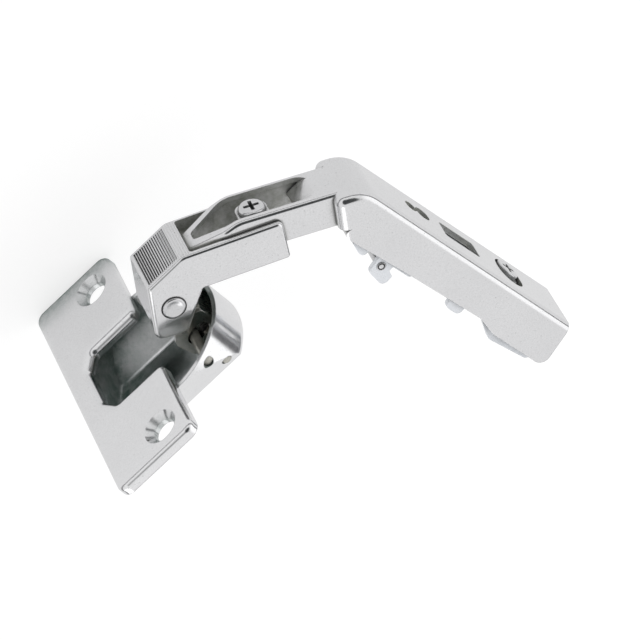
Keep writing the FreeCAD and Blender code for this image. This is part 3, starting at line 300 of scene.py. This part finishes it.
def blended(tree, factor, first, second):
    """Colour between two colours, each a tone or a link."""
    first, second = (colour if isinstance(colour, bpy.types.NodeSocket) else (*colour, 1.0)
                     for colour in (first, second))
    return add(tree, "ShaderNodeMix", {"data_type": "RGBA"}, {MIX_FIRST: first, MIX_SECOND: second},
               Factor=factor)[MIX_RESULT]


# Metals

def shaded(tone, share):
    """A tone at a share of its brightness."""
    return tuple(channel * share for channel in tone)


def shut_in(tree, reach, closed, free):
    """0 where the metal stands open and 1 where other metal within reach closes it in."""
    shelter = add(tree, "ShaderNodeAmbientOcclusion", {"samples": SHELTER_SAMPLES}, Distance=reach)
    return spread(tree, shelter["AO"], 1.0, 0.0, closed, free)


def plated_metal(name, light, dark, recess_shade_tone, smooth, dull, stretch, bend=0.00018, grain=0.25,
                 veil=0.45, bare=0.25):
    """Plated sheet: fine grain, drawing lines, pinpricks, rounded edges, painted shade in recesses and
    painted dark seams.

    The roughness runs from smooth to dull. In recesses veil adds to it, and bare is the share
    that still looks like metal. The edges are rounded by bend, in metres.
    """
    material = bpy.data.materials.new(name)
    tree = emptied(material)
    place = add(tree, "ShaderNodeTexCoord")["Object"]
    blotches = noise(tree, place, *BLOTCHES)
    lines = noise(tree, place, *LINES, stretch)
    speckle = spread(tree, noise(tree, place, *SPECKLE), *SPECKLE_SHARE)
    pricks = spread(tree, noise(tree, place, *PRICKS), *PRICK_SHARE)
    shade_patches = spread(tree, noise(tree, place, *SHADE_PATCHES), *SHADE_PATCH_SHARE)
    deep = shut_in(tree, *SHADED_RECESS)
    painted_seam = shut_in(tree, *SHADED_SEAM)
    tone = blended(tree, spread(tree, blotches, 0.0, 1.0), dark, light)
    tone = blended(tree, speckle, tone, shaded(dark, SPECKLE_SHADE))
    tone = blended(tree, pricks, tone, shaded(dark, PRICK_SHADE))
    # Painted shade: where other metal closes it in, the tone darkens in patches toward the recess shade
    # tone.
    tone = blended(tree, worked(tree, "MULTIPLY", deep, shade_patches), tone, recess_shade_tone)
    # Painted shade in seams: the tone falls to the seam share of the dark tone.
    tone = blended(tree, painted_seam, tone, shaded(dark, SEAM_SHADE))
    in_blotches = spread(tree, blotches, smooth, (smooth + dull) / 2)
    in_lines = spread(tree, lines, 0.0, (dull - smooth) / 2)
    rough = worked(tree, "MULTIPLY_ADD", deep, veil, worked(tree, "ADD", in_blotches, in_lines))
    edge = add(tree, "ShaderNodeBevel", {"samples": EDGE_SAMPLES}, Radius=bend)["Normal"]
    normal = add(tree, "ShaderNodeBump", Height=lines, Normal=edge, Strength=grain,
                 Distance=GRAIN_HEIGHT)["Normal"]
    metallic = spread(tree, deep, 1.0, bare, 0.0, 1.0) if bare < 1.0 else 1.0
    shader = add(tree, "ShaderNodeBsdfPrincipled", Base_Color=tone, Metallic=metallic,
                 Roughness=rough, Normal=normal)["BSDF"]
    add(tree, "ShaderNodeOutputMaterial", Surface=shader)
    return material


METAL = {name: plated_metal(name, **looks) for name, looks in METALS.items()}


# Pieces from the solids

def placed(name, data):
    """New object in the scene."""
    piece = bpy.data.objects.new(name, data)
    bpy.context.scene.collection.objects.link(piece)
    return piece


def smooth_copy(node, name, material):
    """Copy of a solid's mesh with its triangles joined and its bends shaded smoothly."""
    mesh = frame["nodes"][node].data.copy()
    mesh.name = name
    piece = placed(name, mesh)
    shape = bmesh.new()
    shape.from_mesh(mesh)
    bmesh.ops.remove_doubles(shape, verts=shape.verts, dist=MERGE_DISTANCE)
    shape.to_mesh(mesh)
    shape.free()
    if mesh.has_custom_normals:
        mesh.attributes.remove(mesh.attributes["custom_normal"])
    mesh.shade_smooth()
    mesh.set_sharp_from_angle(angle=math.radians(SOLID_CREASE))
    mesh.materials.clear()
    mesh.materials.append(material)
    weighted = piece.modifiers.new("face_weighted", "WEIGHTED_NORMAL")
    weighted.mode = "FACE_AREA"
    weighted.weight = FLAT_FACE_WEIGHT
    weighted.keep_sharp = True
    return piece


BODIES = frame["record"]["behaviour"]["bodies"]
BODY_OF = {node: body for body, nodes in BODIES.items() for node in nodes}


def belongs_to(piece, node):
    """Let a piece ride with a solid's body."""
    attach(piece, BODY_OF[node])


def stands_for(piece, node, material):
    """Let a piece stand for a solid, ride on its body and give the solid its material."""
    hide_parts(node)
    belongs_to(piece, node)
    solid = frame["nodes"][node]
    solid.data.materials.clear()
    solid.data.materials.append(material)


for node, (name, metal) in FINISHES.items():
    stands_for(smooth_copy(node, name, METAL[metal]), node, METAL[metal])


# Pieces that follow a rule

def geometry_tree(name, sizes):
    """Empty geometry tree with a path, named number inputs and one material input."""
    tree = bpy.data.node_groups.new(name, "GeometryNodeTree")
    tree.interface.new_socket("Path", in_out="INPUT", socket_type="NodeSocketGeometry")
    for size in sizes:
        tree.interface.new_socket(size, in_out="INPUT", socket_type="NodeSocketFloat")
    tree.interface.new_socket("Finish", in_out="INPUT", socket_type="NodeSocketMaterial")
    tree.interface.new_socket("Geometry", in_out="OUTPUT", socket_type="NodeSocketGeometry")
    return tree, tree.nodes.new("NodeGroupInput").outputs


def end_tree(tree, geometry, finish):
    """Close a geometry tree: real geometry with its material set."""
    real = add(tree, "GeometryNodeRealizeInstances", Geometry=geometry)["Geometry"]
    done = add(tree, "GeometryNodeSetMaterial", Geometry=real, Material=finish)["Geometry"]
    add(tree, "NodeGroupOutput", Geometry=done)


def swept(tree, curve, steps, radius):
    """Capped bar along a curve, round or with as many corners as steps."""
    section = add(tree, "GeometryNodeCurvePrimitiveCircle", Resolution=steps, Radius=radius)["Curve"]
    return add(tree, "GeometryNodeCurveToMesh", Curve=curve, Profile_Curve=section,
               Fill_Caps=True)["Mesh"]


def helix_tree():
    """Round wire wound evenly round the local z axis, with a straight leg off each end."""
    tree, size = geometry_tree("wound_wire", ("Turns", "Radius", "Pitch", "Wire", "Leg"))
    rise = worked(tree, "MULTIPLY", size["Turns"], size["Pitch"])
    runs = [add(tree, "GeometryNodeCurveSpiral", Resolution=COIL_STEPS, Rotations=size["Turns"],
                Start_Radius=size["Radius"], End_Radius=size["Radius"], Height=rise)["Curve"]]
    for height, way in ((0.0, -1.0), (rise, 1.0)):
        reach = worked(tree, "MULTIPLY", size["Leg"], way)
        foot = add(tree, "ShaderNodeCombineXYZ", X=size["Radius"], Z=height)["Vector"]
        tip = add(tree, "ShaderNodeCombineXYZ", X=size["Radius"], Y=reach, Z=height)["Vector"]
        runs.append(add(tree, "GeometryNodeCurvePrimitiveLine", Start=foot, End=tip)["Curve"])
    route = tree.nodes.new("GeometryNodeJoinGeometry")
    for run in runs:
        tree.links.new(run, route.inputs["Geometry"])
    wire = swept(tree, route.outputs["Geometry"], WIRE_STEPS, size["Wire"])
    end_tree(tree, wire, size["Finish"])
    return tree


def thread_tree():
    """Screw thread: a sharp ridge wound round the local z axis."""
    tree, size = geometry_tree("screw_thread", ("Length", "Radius", "Pitch", "Depth"))
    turns = worked(tree, "DIVIDE", size["Length"], size["Pitch"])
    wound = add(tree, "GeometryNodeCurveSpiral", Resolution=THREAD_STEPS, Rotations=turns,
                Start_Radius=size["Radius"], End_Radius=size["Radius"], Height=size["Length"])["Curve"]
    end_tree(tree, swept(tree, wound, THREAD_CORNERS, size["Depth"]), size["Finish"])
    return tree


def rib_tree():
    """Round ribs along local z, one pitch apart on the path that the seed mesh gives."""
    tree, size = geometry_tree("rib_row", ("Pitch", "Length", "Thickness"))
    path = add(tree, "GeometryNodeMeshToCurve", Mesh=size["Path"])["Curve"]
    spots = add(tree, "GeometryNodeResampleCurve", {"mode": "LENGTH"}, Curve=path, Length=size["Pitch"])
    ends = [worked(tree, "MULTIPLY", size["Length"], half) for half in (-0.5, 0.5)]
    near, far = (add(tree, "ShaderNodeCombineXYZ", Z=end)["Vector"] for end in ends)
    line = add(tree, "GeometryNodeCurvePrimitiveLine", Start=near, End=far)["Curve"]
    rib = swept(tree, line, CREST_STEPS, size["Thickness"])
    row = add(tree, "GeometryNodeInstanceOnPoints", Points=spots["Curve"], Instance=rib)["Instances"]
    end_tree(tree, row, size["Finish"])
    return tree


def metres(**sizes):
    """Named sizes for a tree, from mm."""
    return {name: size * MM for name, size in sizes.items()}


def grown(name, tree, sizes, finish, place, path=()):
    """Plain mesh object grown by a geometry tree, along a path if one is given, in its place."""
    start = bpy.data.meshes.new(name)
    start.from_pydata(path, [(step, step + 1) for step in range(len(path) - 1)], [])
    seed = placed(name, start)
    grow = seed.modifiers.new("grow", "NODES")
    grow.node_group = tree
    for item in tree.interface.items_tree:
        if item.in_out == "INPUT" and item.name != "Path":
            grow[item.identifier] = finish if item.name == "Finish" else float(sizes[item.name])
    ready = seed.evaluated_get(bpy.context.evaluated_depsgraph_get())
    mesh = bpy.data.meshes.new_from_object(ready)
    seed.modifiers.remove(grow)
    seed.data = mesh
    mesh.transform(place)
    outward(mesh)
    mesh.shade_smooth()
    mesh.set_sharp_from_angle(angle=math.radians(GROWN_CREASE))
    return seed


def outward(mesh):
    """Turn every face of a closed mesh outwards."""
    shape = bmesh.new()
    shape.from_mesh(mesh)
    bmesh.ops.recalc_face_normals(shape, faces=shape.faces)
    shape.to_mesh(mesh)
    shape.free()


def turned(name, profile, finish, place):
    """Turned piece: (radius, height) points revolved round the local z axis, poles closed."""
    shape = bmesh.new()
    rings = []
    for radius, height in profile:
        count = TURNED_STEPS if radius > 0.0 else 1
        rings.append([
            shape.verts.new((radius * math.cos(math.tau * step / count),
                             radius * math.sin(math.tau * step / count), height))
            for step in range(count)
        ])
    for low, high in zip(rings, rings[1:]):
        for step in range(TURNED_STEPS):
            ahead = (step + 1) % TURNED_STEPS
            corners = [low[step % len(low)], low[ahead % len(low)],
                       high[ahead % len(high)], high[step % len(high)]]
            shape.faces.new(list(dict.fromkeys(corners)))
    bmesh.ops.recalc_face_normals(shape, faces=shape.faces)
    mesh = bpy.data.meshes.new(name)
    shape.to_mesh(mesh)
    shape.free()
    mesh.transform(place)
    mesh.materials.append(finish)
    mesh.shade_smooth()
    mesh.set_sharp_from_angle(angle=math.radians(TURNED_CREASE))
    return placed(name, mesh)


def both_ends(half):
    """Profile in metres of a pin that is the same at both ends, from its upper half in mm."""
    upper = [(radius * MM, height * MM) for radius, height in half]
    return [(radius, -height) for radius, height in reversed(upper)] + upper


def crest_path():
    """Line of the crests in the nose's flat frame: the ramp, its bend and the flat top."""
    run = (RAMP_TOP - RAMP_FOOT).normalized()
    inward = Vector((run.y, -run.x, 0.0)) * CREST_DEPTH
    slope = math.atan2(run.y, run.x)
    reach = RAMP_BEND * math.tan(slope / 2)
    points = [RAMP_FOOT + run * FIRST_CREST + inward]
    centre = RAMP_TOP - run * reach + inward.normalized() * RAMP_BEND
    for step in range(BEND_STEPS + 1):
        angle = math.pi / 2 + slope * (1 - step / BEND_STEPS)
        spoke = Vector((math.cos(angle), math.sin(angle), 0.0))
        points.append(centre + (RAMP_BEND - CREST_DEPTH) * spoke)
    points.append(Vector((LAST_CREST_S, RAMP_TOP.y - CREST_DEPTH, 0.0)))
    return [tuple(point * MM) for point in points]


HELIX = helix_tree()
for node, spring in SPRINGS.items():
    start = at(FRAMES[spring["frame"]], *spring["centre"], -spring["turns"] * SPRING_PITCH / 2)
    sizes = metres(Radius=spring["bore"] + SPRING_GAP + WIRE_RADIUS, Pitch=SPRING_PITCH,
                   Wire=WIRE_RADIUS, Leg=spring["leg"])
    sizes["Turns"] = spring["turns"]
    legs = Matrix.Rotation(math.radians(spring["leg_angle"]), 4, "Z")
    coil = grown(node + "_coil", HELIX, sizes, METAL["spring_wire"], start @ legs)
    stands_for(coil, node, METAL["spring_wire"])

thread_sizes = metres(Length=THREAD_LENGTH, Radius=THREAD_RADIUS, Pitch=THREAD_PITCH,
                      Depth=THREAD_DEPTH)
thread = grown("overlay_screw_thread", thread_tree(), thread_sizes, METAL["screw_metal"],
               at(ARM, *THREAD_PLACE) @ ONTO_H)
belongs_to(thread, "overlay_screw")

crest_sizes = metres(Pitch=CREST_PITCH, Length=CREST_LENGTH, Thickness=CREST_RADIUS)
crests = grown("nose_ridge_crests", rib_tree(), crest_sizes, METAL["nickel_plate_arm"], NOSE,
               crest_path())
belongs_to(crests, "nose_piece")

for node, pin in TURNED.items():
    place = at(FRAMES[pin["frame"]], *pin["centre"])
    piece = turned(node + "_turned", both_ends(pin["half"]), METAL["screw_metal"], place)
    stands_for(piece, node, METAL["screw_metal"])


# Floor, light and camera

def floor():
    """Pale floor under the hinge that shows white and keeps its shadow."""
    z = cad_box[0].z - FLOOR_GAP
    mesh = bpy.data.meshes.new("floor")
    corners = [(x * FLOOR_REACH, y * FLOOR_REACH, z) for x, y in ((-1, -1), (1, -1), (1, 1), (-1, 1))]
    mesh.from_pydata(corners, [], [(0, 1, 2, 3)])
    plane = placed("floor", mesh)
    material = bpy.data.materials.new("floor_white")
    tree = emptied(material)
    matt = add(tree, "ShaderNodeBsdfDiffuse", Color=FLOOR_TONE)["BSDF"]
    path = add(tree, "ShaderNodeLightPath")
    seen = worked(tree, "MULTIPLY_ADD", path["Is Glossy Ray"], MIRRORED_SHARE, path["Is Camera Ray"])
    lift = worked(tree, "MULTIPLY", seen, FLOOR_LIFT)
    glow = add(tree, "ShaderNodeEmission", Strength=lift)["Emission"]
    both = add(tree, "ShaderNodeAddShader", None, {0: matt, 1: glow})["Shader"]
    add(tree, "ShaderNodeOutputMaterial", Surface=both)
    mesh.materials.append(material)


def soft_lamp(name, place, size, power):
    """Square soft light aimed at the hinge."""
    data = bpy.data.lights.new(name, "AREA")
    data.shape = "SQUARE"
    data.size = size
    data.energy = power
    lamp = placed(name, data)
    lamp.location = place
    lamp.rotation_mode = "QUATERNION"
    lamp.rotation_quaternion = (-Vector(place)).to_track_quat("-Z", "Y")
    return lamp


def near_direction(tree, direction, centre, full, none):
    """1 near a direction of the world and 0 away from it, with angles in degrees."""
    toward = add(tree, "ShaderNodeVectorMath", {"operation": "DOT_PRODUCT"},
                 {0: direction, 1: Vector(centre).normalized()})["Value"]
    start, end = (math.cos(math.radians(angle)) for angle in (none, full))
    return spread(tree, toward, 0.0, 1.0, start, end, "SMOOTHSTEP")


def studio_world():
    """Bright room with a brighter wall, a dark screen and a skirting, white to the camera."""
    world = bpy.data.worlds.new("studio")
    bpy.context.scene.world = world
    tree = emptied(world)
    direction = add(tree, "ShaderNodeTexCoord")["Generated"]
    height = add(tree, "ShaderNodeSeparateXYZ", Vector=direction)["Z"]
    skirting = spread(tree, height, 1.0, 0.0, SKIRTING_TOP, SKIRTING_FADE)
    tone = blended(tree, near_direction(tree, direction, *BRIGHT_WALL), ROOM_TONE, BRIGHT_TONE)
    tone = blended(tree, near_direction(tree, direction, *DARK_SCREEN), tone, SCREEN_TONE)
    tone = blended(tree, skirting, tone, SKIRTING_TONE)
    room = add(tree, "ShaderNodeBackground", Color=tone)["Background"]
    white = add(tree, "ShaderNodeBackground", Color=WHITE)["Background"]
    to_camera = add(tree, "ShaderNodeLightPath")["Is Camera Ray"]
    shown = add(tree, "ShaderNodeMixShader", None, {0: to_camera, 1: room, 2: white})["Shader"]
    add(tree, "ShaderNodeOutputWorld", Surface=shown)


def photo_camera():
    """Camera at the photograph's angle."""
    data = bpy.data.cameras.new("camera")
    data.sensor_width = SENSOR_WIDTH
    data.lens = SENSOR_WIDTH * LENS_PIXELS / PHOTO_PIXELS
    data.clip_start = CLIP_NEAR
    data.clip_end = CLIP_FAR
    camera = placed("camera", data)
    turn = Matrix((CAMERA_RIGHT, CAMERA_UP, CAMERA_BACK)).transposed().to_4x4()
    turn.translation = CAMERA_PLACE
    camera.matrix_world = turn
    bpy.context.scene.camera = camera


floor()
studio_world()
# The key lamp lights the hinge but isn't mirrored in it, so the polished bowl doesn't blow out.
soft_lamp("key_light", KEY_PLACE, KEY_SIZE, KEY_POWER).visible_glossy = False
soft_lamp("fill_light", FILL_PLACE, FILL_SIZE, FILL_POWER)
photo_camera()
bpy.context.scene.view_settings.view_transform = "Standard"
